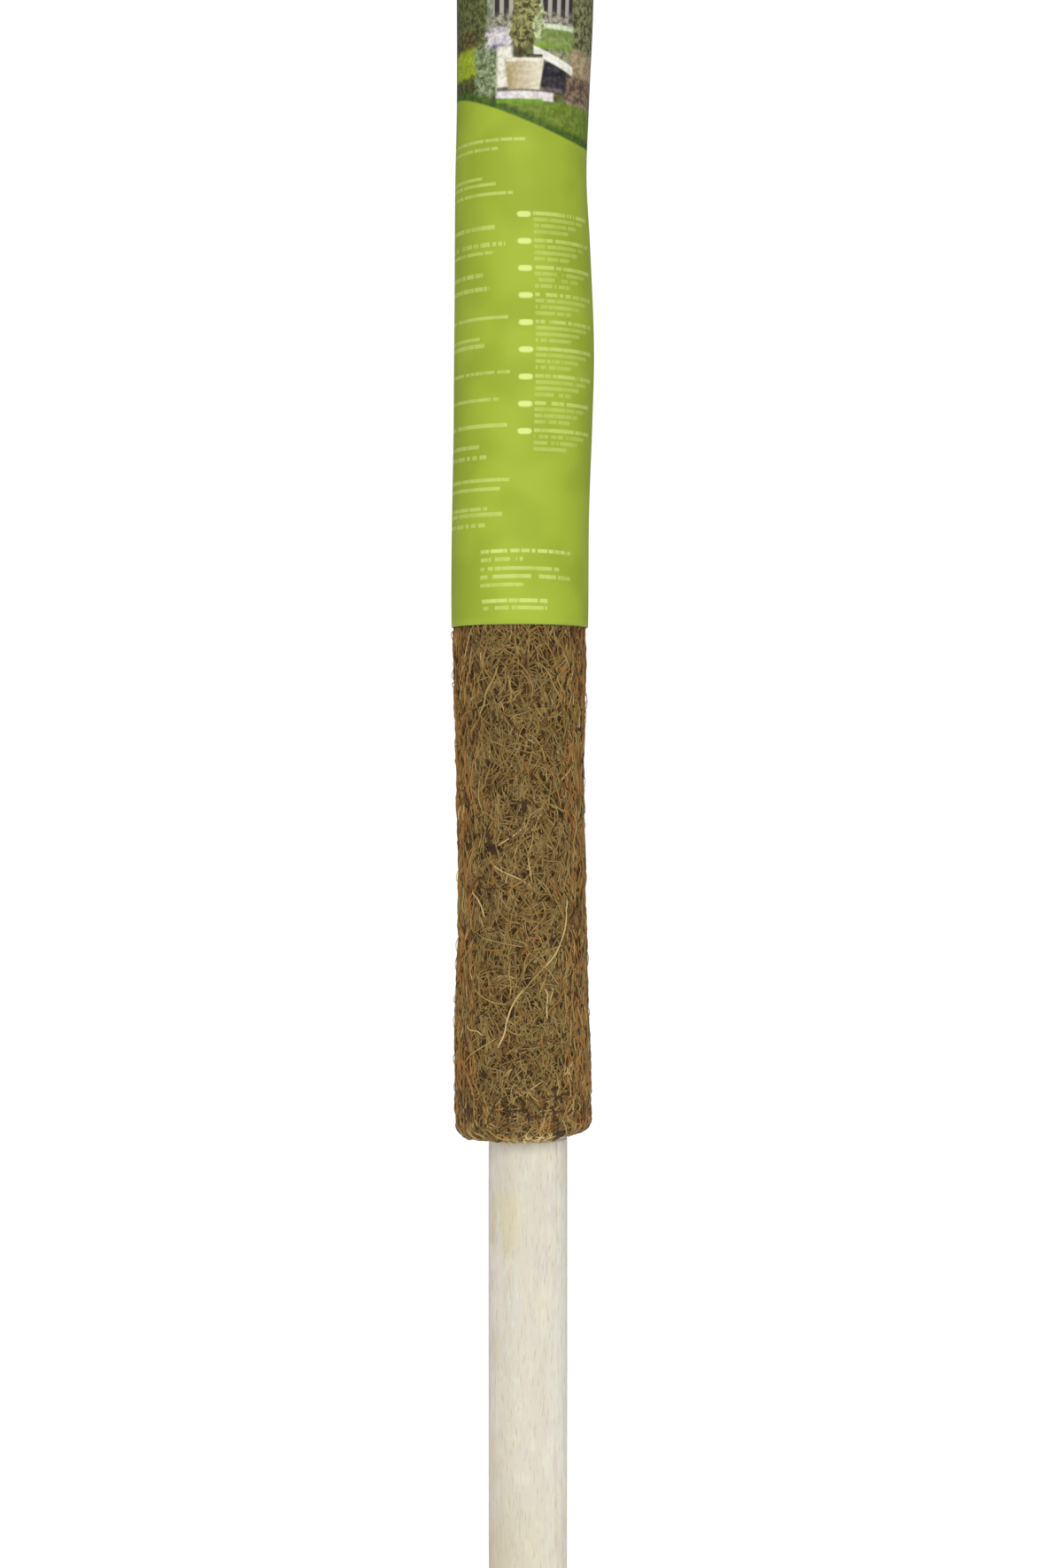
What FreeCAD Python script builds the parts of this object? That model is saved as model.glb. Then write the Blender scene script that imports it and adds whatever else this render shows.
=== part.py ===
"""Coir plant support pole: a round wooden stake in a wrapped coir mat, with a printed sleeve label.

Millimetres, +Z up. The origin is on the stake's axis, at the tip of its foot. The mat is wrapped a
little off the stake's axis, so the mat, its glue and the label share an axis of their own.
"""

import FreeCAD, Part
import math
import os

import Sketcher

V = FreeCAD.Vector

DIMENSIONS = [
    # alias, value, what it is
    ("stake_radius", 10.0, "round stake"),
    ("stake_length", 600.0, "tip of the foot to the top"),
    ("point_length", 18.0, "cone of the foot"),
    ("point_radius", 2.0, "blunt tip of the cone"),
    ("top_bevel", 1.2, "broken edge at the stake's top"),
    ("score_height", 130.2, "scored ring that marks where the mat ends"),
    ("score_width", 1.2, "scored ring, along the stake"),
    ("score_depth", 0.4, "scored ring, into the stake"),
    ("mat_shift", -1.5, "mat's axis from the stake's axis, along X"),
    ("mat_bottom", 131.0, "lower rim of the mat"),
    ("mat_top", 597.0, "upper rim of the mat"),
    ("mat_radius", 17.2, "mat where the label holds it, and above"),
    ("mat_waist", 16.6, "mat at its thinnest, below the label"),
    ("mat_waist_height", 205.0, "height of the thinnest place"),
    ("mat_foot_radius", 17.7, "mat at its thickest, above the lower rim"),
    ("mat_foot_height", 140.0, "height of the thickest place"),
    ("rim_rounding", 3.2, "rounding of both rims"),
    ("seam_gap", 0.5, "slit between the mat's two butted edges"),
    ("seam_inset", 0.7, "glue stays this far inside the mat's surface"),
    ("rim_inset", 6.0, "glue stays this far from the rims"),
    ("bond_film", 0.2, "latex film between the stake and the mat"),
    ("bond_sweep", 40.0, "degrees of the stake that one film covers"),
    ("label_bottom", 260.6, "lower edge of the label"),
    ("label_height", 240.0, "height of the label"),
    ("label_bore", 17.6, "inner radius of the label, clear of the mat"),
    ("label_sheet", 0.3, "thickness of the card"),
    ("label_bond", 0.1, "glue in the label's overlap"),
    ("bond_width", 26.0, "degrees of the overlap that the glue covers"),
    ("start_angle", 100.0, "where the under layer starts, anticlockwise from +X"),
    ("flap_end_angle", 66.0, "where the flap over it ends"),
    ("step_low_angle", 120.0, "where the sheet starts to climb onto itself"),
    ("step_high_angle", 110.0, "where it has climbed"),
]


def make_sheet(doc):
    sheet = doc.addObject("Spreadsheet::Sheet", "Sheet")
    for row, (alias, value, note) in enumerate(DIMENSIONS, start=1):
        sheet.set(f"A{row}", alias)
        sheet.set(f"B{row}", str(value))
        sheet.set(f"C{row}", note)
        sheet.setAlias(f"B{row}", alias)
    doc.recompute()
    return sheet


def origin_plane(body, role):
    return next(f for f in body.Origin.OriginFeatures if f.Role == role)


def new_body(doc, label, along_x=None):
    body = doc.addObject("PartDesign::Body", label)
    body.Label = label
    if along_x:
        body.setExpression(".Placement.Base.x", along_x)
    return body


def new_sketch(body, name, role):
    sketch = body.newObject("Sketcher::SketchObject", name)
    sketch.AttachmentSupport = [(origin_plane(body, role), "")]
    sketch.MapMode = "FlatFace"
    return sketch


def size(sketch, kind, places, expression):
    """Adds a dimension between places of the sketch, and binds it to the sheet."""
    value = sketch.evalExpression(expression)
    if kind == "Angle":
        value = math.radians(value)
    at = sketch.addConstraint(Sketcher.Constraint(kind, *places, value))
    unit = " * 1 deg" if kind == "Angle" else ""
    sketch.setExpression(f"Constraints[{at}]", f"({expression}){unit}")


def join(sketch, edges, closed=True):
    """Makes each edge end where the next one starts."""
    pairs = list(zip(edges, edges[1:] + edges[:1]))
    for a, b in pairs if closed else pairs[:-1]:
        sketch.addConstraint(Sketcher.Constraint("Coincident", a, 2, b, 1))


def make_stake(doc, sheet):
    """Revolved outline: blunt tip, cone, straight shank with a scored ring, bevelled top."""
    body = new_body(doc, "wooden_stake")
    sketch = new_sketch(body, "StakeOutline", "XZ_Plane")
    points = [
        V(0, 0, 0),
        V(sheet.point_radius, 0, 0),
        V(sheet.stake_radius, sheet.point_length, 0),
        V(sheet.stake_radius, sheet.score_height - sheet.score_width / 2, 0),
        V(sheet.stake_radius - sheet.score_depth, sheet.score_height, 0),
        V(sheet.stake_radius, sheet.score_height + sheet.score_width / 2, 0),
        V(sheet.stake_radius, sheet.stake_length - sheet.top_bevel, 0),
        V(sheet.stake_radius - sheet.top_bevel, sheet.stake_length, 0),
        V(0, sheet.stake_length, 0),
    ]
    edges = [
        sketch.addGeometry(Part.LineSegment(a, b), False)
        for a, b in zip(points, points[1:] + points[:1])
    ]
    join(sketch, edges)
    tip, cone, foot, score_in, score_out, shank, bevel, top, axis = edges
    sketch.addConstraint(Sketcher.Constraint("Coincident", tip, 1, -1, 1))
    sketch.addConstraint(Sketcher.Constraint("Horizontal", tip))
    sketch.addConstraint(Sketcher.Constraint("Horizontal", top))
    for edge in (foot, shank, axis):
        sketch.addConstraint(Sketcher.Constraint("Vertical", edge))
    origin = (-1, 1)
    size(sketch, "DistanceX", (*origin, tip, 2), "Sheet.point_radius")
    size(sketch, "DistanceX", (*origin, foot, 1), "Sheet.stake_radius")
    size(sketch, "DistanceY", (*origin, foot, 1), "Sheet.point_length")
    size(sketch, "DistanceX", (score_in, 2, score_in, 1), "Sheet.score_depth")
    size(sketch, "DistanceY", (*origin, score_in, 2), "Sheet.score_height")
    size(sketch, "DistanceX", (*origin, shank, 1), "Sheet.stake_radius")
    size(sketch, "DistanceY", (score_in, 1, score_in, 2), "Sheet.score_width / 2")
    size(sketch, "DistanceY", (score_out, 1, score_out, 2), "Sheet.score_width / 2")
    size(sketch, "DistanceX", (bevel, 2, bevel, 1), "Sheet.top_bevel")
    size(sketch, "DistanceY", (bevel, 1, bevel, 2), "Sheet.top_bevel")
    size(sketch, "DistanceY", (*origin, top, 2), "Sheet.stake_length")
    turn = body.newObject("PartDesign::Revolution", "StakeTurned")
    turn.Profile = sketch
    turn.ReferenceAxis = (sketch, ["V_Axis"])
    turn.Angle = 360
    return body


def make_mat(doc, sheet):
    """Revolved outline with a waist below the label, bored for the stake and slit at the back."""
    body = new_body(doc, "coir_mat", "Sheet.mat_shift")
    sketch = new_sketch(body, "MatOutline", "XZ_Plane")
    hold = V(sheet.mat_radius, sheet.label_bottom, 0)
    waist = V(sheet.mat_waist, sheet.mat_waist_height, 0)
    foot = V(sheet.mat_foot_radius, sheet.mat_foot_height, 0)
    corner = V(sheet.mat_foot_radius, sheet.mat_bottom, 0)
    top = V(sheet.mat_radius, sheet.mat_top, 0)
    edges = [
        sketch.addGeometry(Part.LineSegment(V(0, sheet.mat_bottom, 0), corner), False),
        sketch.addGeometry(Part.LineSegment(corner, foot), False),
        sketch.addGeometry(Part.Arc(hold, waist, foot), False),
        sketch.addGeometry(Part.LineSegment(hold, top), False),
        sketch.addGeometry(Part.LineSegment(top, V(0, sheet.mat_top, 0)), False),
        sketch.addGeometry(
            Part.LineSegment(V(0, sheet.mat_top, 0), V(0, sheet.mat_bottom, 0)), False
        ),
    ]
    bottom, heel, flare, wall, lid, axis = edges
    join(sketch, [lid, axis, bottom, heel], closed=False)
    join(sketch, [wall, lid], closed=False)
    # the arc runs anticlockwise, from its top to its bottom, against the other edges
    sketch.addConstraint(Sketcher.Constraint("Coincident", heel, 2, flare, 2))
    sketch.addConstraint(Sketcher.Constraint("Coincident", flare, 1, wall, 1))
    waist_point = sketch.addGeometry(Part.Point(waist), True)
    sketch.addConstraint(Sketcher.Constraint("PointOnObject", waist_point, 1, flare))
    for edge in (bottom, lid):
        sketch.addConstraint(Sketcher.Constraint("Horizontal", edge))
    for edge in (heel, wall):
        sketch.addConstraint(Sketcher.Constraint("Vertical", edge))
    sketch.addConstraint(Sketcher.Constraint("PointOnObject", axis, 1, -2))
    sketch.addConstraint(Sketcher.Constraint("PointOnObject", axis, 2, -2))
    origin = (-1, 1)
    size(sketch, "DistanceY", (*origin, bottom, 1), "Sheet.mat_bottom")
    size(sketch, "DistanceX", (*origin, heel, 1), "Sheet.mat_foot_radius")
    size(sketch, "DistanceY", (*origin, heel, 2), "Sheet.mat_foot_height")
    size(sketch, "DistanceX", (*origin, waist_point, 1), "Sheet.mat_waist")
    size(sketch, "DistanceY", (*origin, waist_point, 1), "Sheet.mat_waist_height")
    size(sketch, "DistanceX", (*origin, wall, 1), "Sheet.mat_radius")
    size(sketch, "DistanceY", (*origin, wall, 1), "Sheet.label_bottom")
    size(sketch, "DistanceY", (*origin, wall, 2), "Sheet.mat_top")
    turn = body.newObject("PartDesign::Revolution", "MatTurned")
    turn.Profile = sketch
    turn.ReferenceAxis = (sketch, ["V_Axis"])
    turn.Angle = 360
    doc.recompute()

    rims = [
        f"Edge{i}"
        for i, edge in enumerate(turn.Shape.Edges, start=1)
        if isinstance(edge.Curve, Part.Circle)
        and min(
            abs(edge.Curve.Center.z - sheet.mat_bottom),
            abs(edge.Curve.Center.z - sheet.mat_top),
        )
        < 0.01
    ]
    rounding = body.newObject("PartDesign::Fillet", "RimRounding")
    rounding.Base = (turn, rims)
    rounding.setExpression("Radius", "Sheet.rim_rounding")

    bore = new_sketch(body, "StakeHole", "XY_Plane")
    circle = bore.addGeometry(
        Part.Circle(V(-sheet.mat_shift, 0, 0), V(0, 0, 1), sheet.stake_radius), False
    )
    bore.addConstraint(Sketcher.Constraint("PointOnObject", circle, 3, -1))
    size(bore, "DistanceX", (-1, 1, circle, 3), "-Sheet.mat_shift")
    size(bore, "Radius", (circle,), "Sheet.stake_radius + Sheet.bond_film")
    through(body, bore, "StakeHoleCut")

    slit = new_sketch(body, "SeamSlit", "XY_Plane")
    half, deep = sheet.seam_gap / 2, 2 * sheet.mat_radius
    corners = [V(-half, 0, 0), V(half, 0, 0), V(half, deep, 0), V(-half, deep, 0)]
    sides = [
        slit.addGeometry(Part.LineSegment(a, b), False)
        for a, b in zip(corners, corners[1:] + corners[:1])
    ]
    join(slit, sides)
    for i, kind in enumerate(("Horizontal", "Vertical", "Horizontal", "Vertical")):
        slit.addConstraint(Sketcher.Constraint(kind, sides[i]))
    slit.addConstraint(Sketcher.Constraint("Symmetric", sides[0], 1, sides[0], 2, -1, 1))
    size(slit, "DistanceX", (sides[0], 1, sides[0], 2), "Sheet.seam_gap")
    size(slit, "DistanceY", (sides[1], 1, sides[1], 2), "2 * Sheet.mat_radius")
    through(body, slit, "SeamSlitCut")
    return body


def through(body, sketch, name):
    """Cuts a sketch on the ground plane up through the whole body, and checks that it cut."""
    before = body.Shape.Volume
    cut = body.newObject("PartDesign::Pocket", name)
    cut.Profile = sketch
    cut.Type = "ThroughAll"
    cut.Midplane = True
    body.Document.recompute()
    if not body.Shape.Volume < before:
        raise RuntimeError(f"{name} removed nothing")


def ring_piece(doc, name, inner, outer, start, sweep, bottom, height, along_x=None):
    """A stretch of ring: an outer wedge of a cylinder less a plain inner cylinder."""
    wedge = doc.addObject("Part::Cylinder", name + "Outer")
    wedge.setExpression("Radius", outer)
    wedge.setExpression("Angle", sweep)
    core = doc.addObject("Part::Cylinder", name + "Inner")
    core.setExpression("Radius", inner)
    for solid in (wedge, core):
        solid.setExpression("Height", height)
        solid.setExpression(".Placement.Base.z", bottom)
        if along_x:
            solid.setExpression(".Placement.Base.x", along_x)
    wedge.setExpression(".Placement.Rotation.Angle", f"({start}) * 1 deg")
    piece = doc.addObject("Part::Cut", name)
    piece.Base = wedge
    piece.Tool = core
    return piece


def make_stake_bond(doc):
    """Two films of latex, left and right, that hold the mat on the stake."""
    films = [
        ring_piece(
            doc,
            f"BondFilm{side}",
            "Sheet.stake_radius",
            "Sheet.stake_radius + Sheet.bond_film",
            f"{middle} - Sheet.bond_sweep / 2",
            "Sheet.bond_sweep",
            "Sheet.mat_bottom + Sheet.rim_inset",
            "Sheet.mat_top - Sheet.mat_bottom - 2 * Sheet.rim_inset",
        )
        for side, middle in (("Right", 0), ("Left", 180))
    ]
    bond = doc.addObject("Part::Compound", "stake_glue_lines")
    bond.Label = "stake_glue_lines"
    bond.Links = films
    return bond


def make_seam_bond(doc):
    """The plate of latex in the slit between the mat's butted edges."""
    plate = doc.addObject("Part::Box", "seam_glue_line")
    plate.Label = "seam_glue_line"
    start = "Sheet.stake_radius + Sheet.bond_film + Sheet.seam_inset"
    plate.setExpression("Length", "Sheet.seam_gap")
    plate.setExpression("Width", f"Sheet.mat_waist - Sheet.seam_inset - ({start})")
    plate.setExpression(
        "Height", "Sheet.mat_top - Sheet.mat_bottom - 2 * Sheet.rim_inset"
    )
    plate.setExpression(".Placement.Base.x", "Sheet.mat_shift - Sheet.seam_gap / 2")
    plate.setExpression(".Placement.Base.y", start)
    plate.setExpression(".Placement.Base.z", "Sheet.mat_bottom + Sheet.rim_inset")
    return plate


def make_label(doc, sheet):
    """A card wrapped once, whose flap climbs a step and overlaps the start of the sheet."""
    body = new_body(doc, "label_sleeve", "Sheet.mat_shift")
    sketch = new_sketch(body, "LabelSection", "XY_Plane")
    inner, thick, bond = sheet.label_bore, sheet.label_sheet, sheet.label_bond
    lift = thick + bond
    radii = {"under_in": inner, "under_out": inner + thick}
    radii.update({"flap_in": inner + lift, "flap_out": inner + lift + thick})
    names = {
        "under_in": "Sheet.label_bore",
        "under_out": "Sheet.label_bore + Sheet.label_sheet",
        "flap_in": "Sheet.label_bore + Sheet.label_sheet + Sheet.label_bond",
        "flap_out": "Sheet.label_bore + 2 * Sheet.label_sheet + Sheet.label_bond",
    }
    spans = {
        "under": (sheet.step_low_angle, sheet.start_angle + 360),
        "flap": (sheet.flap_end_angle, sheet.step_high_angle),
    }

    def on(radius, degrees):
        return V(
            radius * math.cos(math.radians(degrees)),
            radius * math.sin(math.radians(degrees)),
            0,
        )

    arcs = {}
    for name, radius in radii.items():
        low, high = spans[name.split("_")[0]]
        circle = Part.Circle(V(0, 0, 0), V(0, 0, 1), radius)
        arcs[name] = sketch.addGeometry(
            Part.ArcOfCircle(circle, math.radians(low), math.radians(high)), False
        )
        sketch.addConstraint(Sketcher.Constraint("Coincident", arcs[name], 3, -1, 1))
        size(sketch, "Radius", (arcs[name],), names[name])

    def line(a, b, end_a, end_b):
        """A straight edge from one arc's end to another's; end 1 is the start, 2 the end."""
        at = [
            on(radii[n], spans[n.split("_")[0]][e - 1])
            for n, e in ((a, end_a), (b, end_b))
        ]
        edge = sketch.addGeometry(Part.LineSegment(*at), False)
        sketch.addConstraint(Sketcher.Constraint("Coincident", edge, 1, arcs[a], end_a))
        sketch.addConstraint(Sketcher.Constraint("Coincident", edge, 2, arcs[b], end_b))
        return edge

    line("under_in", "under_out", 2, 2)
    line("under_in", "flap_in", 1, 2)
    line("under_out", "flap_out", 1, 2)
    line("flap_in", "flap_out", 1, 1)

    def ray(alias, *ends):
        """A construction line from the axis at an angle, which the arcs' ends lie on."""
        degrees = getattr(sheet, alias)
        spoke = sketch.addGeometry(
            Part.LineSegment(V(0, 0, 0), on(2 * inner, degrees)), True
        )
        sketch.addConstraint(Sketcher.Constraint("Coincident", spoke, 1, -1, 1))
        size(sketch, "Distance", (spoke,), "2 * Sheet.label_bore")
        size(sketch, "Angle", (-1, spoke), f"Sheet.{alias}")
        for name, end in ends:
            sketch.addConstraint(
                Sketcher.Constraint("PointOnObject", arcs[name], end, spoke)
            )

    ray("start_angle", ("under_in", 2), ("under_out", 2))
    ray("step_low_angle", ("under_in", 1), ("under_out", 1))
    ray("step_high_angle", ("flap_in", 2), ("flap_out", 2))
    ray("flap_end_angle", ("flap_in", 1), ("flap_out", 1))

    pad = body.newObject("PartDesign::Pad", "LabelSheet")
    pad.Profile = sketch
    pad.setExpression("Length", "Sheet.label_height")
    body.setExpression(".Placement.Base.z", "Sheet.label_bottom")
    return body


def make_label_bond(doc):
    """The strip of glue between the label's start and the flap over it."""
    under = "Sheet.label_bore + Sheet.label_sheet"
    strip = ring_piece(
        doc,
        "label_glue_strip",
        under,
        f"{under} + Sheet.label_bond",
        "Sheet.flap_end_angle + (Sheet.start_angle - Sheet.flap_end_angle"
        " - Sheet.bond_width) / 2",
        "Sheet.bond_width",
        "Sheet.label_bottom + Sheet.rim_inset",
        "Sheet.label_height - 2 * Sheet.rim_inset",
        "Sheet.mat_shift",
    )
    strip.Label = "label_glue_strip"
    return strip


def check(doc, nodes):
    for item in doc.Objects:
        if set(item.State) & {"Invalid", "Error"}:
            raise RuntimeError(f"{item.Label} is {item.State}")
    for node in nodes:
        shape = node.Shape
        if shape.isNull() or not shape.isValid() or not shape.Solids:
            raise RuntimeError(f"{node.Label} has no valid solid")


def main():
    doc = FreeCAD.newDocument("CoirPole")
    sheet = make_sheet(doc)
    nodes = [
        make_stake(doc, sheet),
        make_mat(doc, sheet),
        make_stake_bond(doc),
        make_seam_bond(doc),
        make_label(doc, sheet),
        make_label_bond(doc),
    ]
    doc.recompute()
    check(doc, nodes)
    os.makedirs("parts", exist_ok=True)
    for node in nodes:
        node.Shape.exportStep(f"parts/{node.Label}.step")
        box = node.Shape.optimalBoundingBox()
        print(
            f"{node.Label}: {node.Shape.Volume:.1f} mm3,",
            f"X {box.XMin:.2f}..{box.XMax:.2f}, Y {box.YMin:.2f}..{box.YMax:.2f},",
            f"Z {box.ZMin:.2f}..{box.ZMax:.2f}",
        )


main()
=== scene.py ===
"""Looks of a coir plant support pole: felted coconut fibre round a pale stake, with a printed sleeve.

Builders work in millimetres in the part's frame, and MM turns them into Blender's metres. The mat and
the sleeve are described by theta, the angle round their own axis, anticlockwise from +X seen from
above, and by a place along the mat's outline or a height.
"""

import math

import bpy
import numpy as np
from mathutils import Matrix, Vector

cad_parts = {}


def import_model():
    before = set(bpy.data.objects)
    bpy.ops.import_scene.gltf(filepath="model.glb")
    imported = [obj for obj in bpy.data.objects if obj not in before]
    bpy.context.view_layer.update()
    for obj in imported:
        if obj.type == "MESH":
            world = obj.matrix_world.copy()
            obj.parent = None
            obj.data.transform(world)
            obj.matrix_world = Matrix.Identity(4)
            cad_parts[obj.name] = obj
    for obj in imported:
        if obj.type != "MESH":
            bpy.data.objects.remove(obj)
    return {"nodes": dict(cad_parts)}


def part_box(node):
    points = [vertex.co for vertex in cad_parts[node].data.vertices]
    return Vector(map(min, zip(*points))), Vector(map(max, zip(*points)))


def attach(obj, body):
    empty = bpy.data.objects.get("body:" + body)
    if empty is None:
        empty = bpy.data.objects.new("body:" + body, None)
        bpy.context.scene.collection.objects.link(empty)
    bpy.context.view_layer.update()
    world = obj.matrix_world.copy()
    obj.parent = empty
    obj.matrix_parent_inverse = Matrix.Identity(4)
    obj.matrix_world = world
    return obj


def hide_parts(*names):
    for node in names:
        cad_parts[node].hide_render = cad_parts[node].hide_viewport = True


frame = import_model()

MM = 0.001
TURN = 2 * math.pi
FRONT = -math.pi / 2


# -------- sizes from the frame


def box_mm(node):
    lo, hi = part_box(node)
    return np.array(lo) / MM, np.array(hi) / MM


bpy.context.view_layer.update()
STAKE_LO, STAKE_HI = box_mm("wooden_stake")
MAT_LO, MAT_HI = box_mm("coir_mat")
LABEL_LO, LABEL_HI = box_mm("label_sleeve")
STAKE_RADIUS = (STAKE_HI[0] - STAKE_LO[0]) / 2
AXIS_X = (MAT_LO[0] + MAT_HI[0]) / 2  # the mat and the sleeve are wrapped off the stake's axis
MAT_BOTTOM, MAT_TOP = MAT_LO[2], MAT_HI[2]
LABEL_BOTTOM, LABEL_TOP = LABEL_LO[2], LABEL_HI[2]
LABEL_HEIGHT = LABEL_TOP - LABEL_BOTTOM

RIM_ROUNDING = 3.2
BORE_GAP = 0.15  # air between the stake and the felt round it
RIM_TILT, TILT_REACH = 0.75, 30  # the lower rim's rise towards +X, which fades out up the mat
CARD = 0.3  # thickness of the sleeve
FLAP_LIFT = 0.4  # the flap lies on the card and its glue
FUZZ = 0.45  # loose fibres stand this far out of the felt
UNDER_CARD, FUZZ_HELD = 0.25, 0.3  # air between fibres and card, and the fibres' height there
EDGE_PINCH, PINCH_REACH = 0.3, 12  # the felt is thinner beside the card's edges: how much, how far
ROUND = 17.0  # the mat's radius, for turning lengths round it into angles
SEAM = math.pi / 2  # the mat's two edges meet at the back
SEAM_REACH, SEAM_DEPTH = 1.0, 1.5  # the groove there: half of its width, and its depth

# The wrapped pole isn't straight or even. Height above the foot, shift of the centre towards +X,
# and radius outside the fuzz or the card.
STATIONS = [
    (130, 0.3, 17.5),
    (149, 0.2, 17.7),
    (163, -0.1, 17.3),
    (180, 0.0, 16.7),
    (205, -0.2, 16.5),
    (224, -0.6, 16.6),
    (245, -0.6, 17.1),
    (262, -0.6, 17.5),
    (290, -0.4, 17.5),
    (312, 0.2, 17.7),
    (331, 0.5, 17.9),
    (358, 0.1, 17.4),
    (376, -0.3, 16.8),
    (394, 0.2, 16.9),
    (422, 0.8, 17.5),
    (460, 0.3, 17.6),
    (500, -0.1, 17.5),
    (540, 0.1, 17.4),
    (597, 0.0, 17.5),
]
HEIGHTS, SHIFTS, RADII = zip(*STATIONS)


def through(x, xs, ys):
    """A smooth curve through the points, with the slope at each from its two neighbours."""
    xs, ys = np.asarray(xs, float), np.asarray(ys, float)
    slope = np.gradient(ys, xs)
    x = np.clip(x, xs[0], xs[-1])
    i = np.clip(np.searchsorted(xs, x) - 1, 0, len(xs) - 2)
    step = xs[i + 1] - xs[i]
    t = (x - xs[i]) / step
    return (
        ys[i] * (1 + 2 * t) * (1 - t) ** 2
        + ys[i + 1] * t * t * (3 - 2 * t)
        + step * slope[i] * t * (1 - t) ** 2
        - step * slope[i + 1] * t * t * (1 - t)
    )


def sway(z):
    """How far the wrapped pole's centre leans towards +X at a height."""
    return through(z, HEIGHTS, SHIFTS)


def outer_radius(z):
    return through(z, HEIGHTS, RADII)


class Lumps:
    """Smooth random numbers from -1 to 1 over (theta, length), which join up round the pole."""

    LENGTH = 800  # more than any length along the pole, or along the mat's outline

    def __init__(self, seed, size_round, size_along):
        self.across = max(3, round(TURN * ROUND / size_round))
        self.size = size_along
        rows = int(self.LENGTH / size_along) + 8
        self.grid = np.random.default_rng(seed).uniform(-1, 1, (rows, self.across))

    def __call__(self, theta, along):
        a = np.mod(np.asarray(theta) / TURN, 1.0) * self.across
        b = np.clip(np.asarray(along) / self.size + 3, 0, self.grid.shape[0] - 1.001)
        i, j = np.floor(a).astype(int), np.floor(b).astype(int)
        s, t = a - i, b - j
        s, t = s * s * (3 - 2 * s), t * t * (3 - 2 * t)
        i, i2 = i % self.across, (i + 1) % self.across
        low = self.grid[j, i] * (1 - s) + self.grid[j, i2] * s
        high = self.grid[j + 1, i] * (1 - s) + self.grid[j + 1, i2] * s
        return low * (1 - t) + high * t


# -------- meshes


def new_object(name, data):
    obj = bpy.data.objects.new(name, data)
    bpy.context.scene.collection.objects.link(obj)
    return obj


def mesh_object(name, points_mm, faces, materials, shade=None):
    """A smooth-shaded mesh. faces is a list of arrays, each of faces with one number of corners."""
    mesh = bpy.data.meshes.new(name)
    mesh.vertices.add(len(points_mm))
    mesh.vertices.foreach_set("co", (points_mm * MM).astype(np.float32).ravel())
    corners = np.concatenate([f.ravel() for f in faces]).astype(np.int32)
    sizes = np.concatenate([np.full(len(f), f.shape[1]) for f in faces])
    mesh.loops.add(len(corners))
    mesh.loops.foreach_set("vertex_index", corners)
    mesh.polygons.add(len(sizes))
    starts = np.concatenate([[0], np.cumsum(sizes)[:-1]]).astype(np.int32)
    mesh.polygons.foreach_set("loop_start", starts)
    for material in materials:
        mesh.materials.append(material)
    if shade is not None:
        mesh.polygons.foreach_set("material_index", shade.astype(np.int32))
    mesh.polygons.foreach_set("use_smooth", np.ones(len(sizes), bool))
    mesh.update(calc_edges=True)
    return new_object(name, mesh)


def grid_quads(rows, columns, closed):
    """Faces of a grid of points, row by row; closed joins the last column to the first."""
    i, j = np.meshgrid(
        np.arange(rows - 1), np.arange(columns if closed else columns - 1), indexing="ij"
    )
    k = (j + 1) % columns
    corners = [i * columns + j, i * columns + k, (i + 1) * columns + k, (i + 1) * columns + j]
    return np.stack(corners, axis=-1).reshape(-1, 4)


def tubes(name, lines, radii, materials, shade, facing, sides):
    """Closed tubes along lines (count, points, 3), with a radius at each point and a shade for each
    stretch. facing is about the direction that each tube's first side faces."""
    count, steps = lines.shape[:2]
    along = np.gradient(lines, axis=1)
    along /= np.linalg.norm(along, axis=2, keepdims=True) + 1e-9
    side = np.cross(along, facing)
    side /= np.linalg.norm(side, axis=2, keepdims=True) + 1e-9
    up = np.cross(side, along)
    angle = (np.arange(sides) + 0.5) / sides * TURN
    out, off = (radii[:, :, None, None] * part[:, None] for part in (np.cos(angle), np.sin(angle)))
    rings = lines[:, :, None] + out * side[:, :, None] + off * up[:, :, None]
    start = np.arange(count)[:, None] * steps * sides
    end = start + (steps - 1) * sides
    ring = start[:, None] + np.arange(steps - 1)[:, None] * sides
    here, there = np.arange(sides), (np.arange(sides) + 1) % sides
    corners = [here, there, sides + there, sides + here]
    wall = np.stack([ring + corner for corner in corners], axis=-1).reshape(-1, 4)
    caps = np.concatenate([start + here[::-1], end + here])
    shades = np.concatenate([np.repeat(shade.ravel(), sides), shade[:, 0], shade[:, -1]])
    return mesh_object(name, rings.reshape(-1, 3), [wall, caps], materials, shades)


# -------- shader graphs


def srgb(red, green, blue):
    """A colour as a screen shows it, 0 to 255, as the shader's linear numbers."""
    parts = [c / 255 for c in (red, green, blue)]
    linear = [c / 12.92 if c <= 0.04045 else ((c + 0.055) / 1.055) ** 2.4 for c in parts]
    return (*linear, 1.0)


class Num:
    """A number in a shader graph. Arithmetic on it adds Math nodes."""

    def __init__(self, graph, socket):
        self.graph, self.socket = graph, socket

    def __add__(self, other):
        return self.graph.math("ADD", self, other)

    def __sub__(self, other):
        return self.graph.math("SUBTRACT", self, other)

    def __rsub__(self, other):
        return self.graph.math("SUBTRACT", other, self)

    def __mul__(self, other):
        return self.graph.math("MULTIPLY", self, other)

    def __truediv__(self, other):
        return self.graph.math("DIVIDE", self, other)

    def __mod__(self, other):
        return self.graph.math("FLOORED_MODULO", self, other)

    def floor(self):
        return self.graph.math("FLOOR", self)


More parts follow.
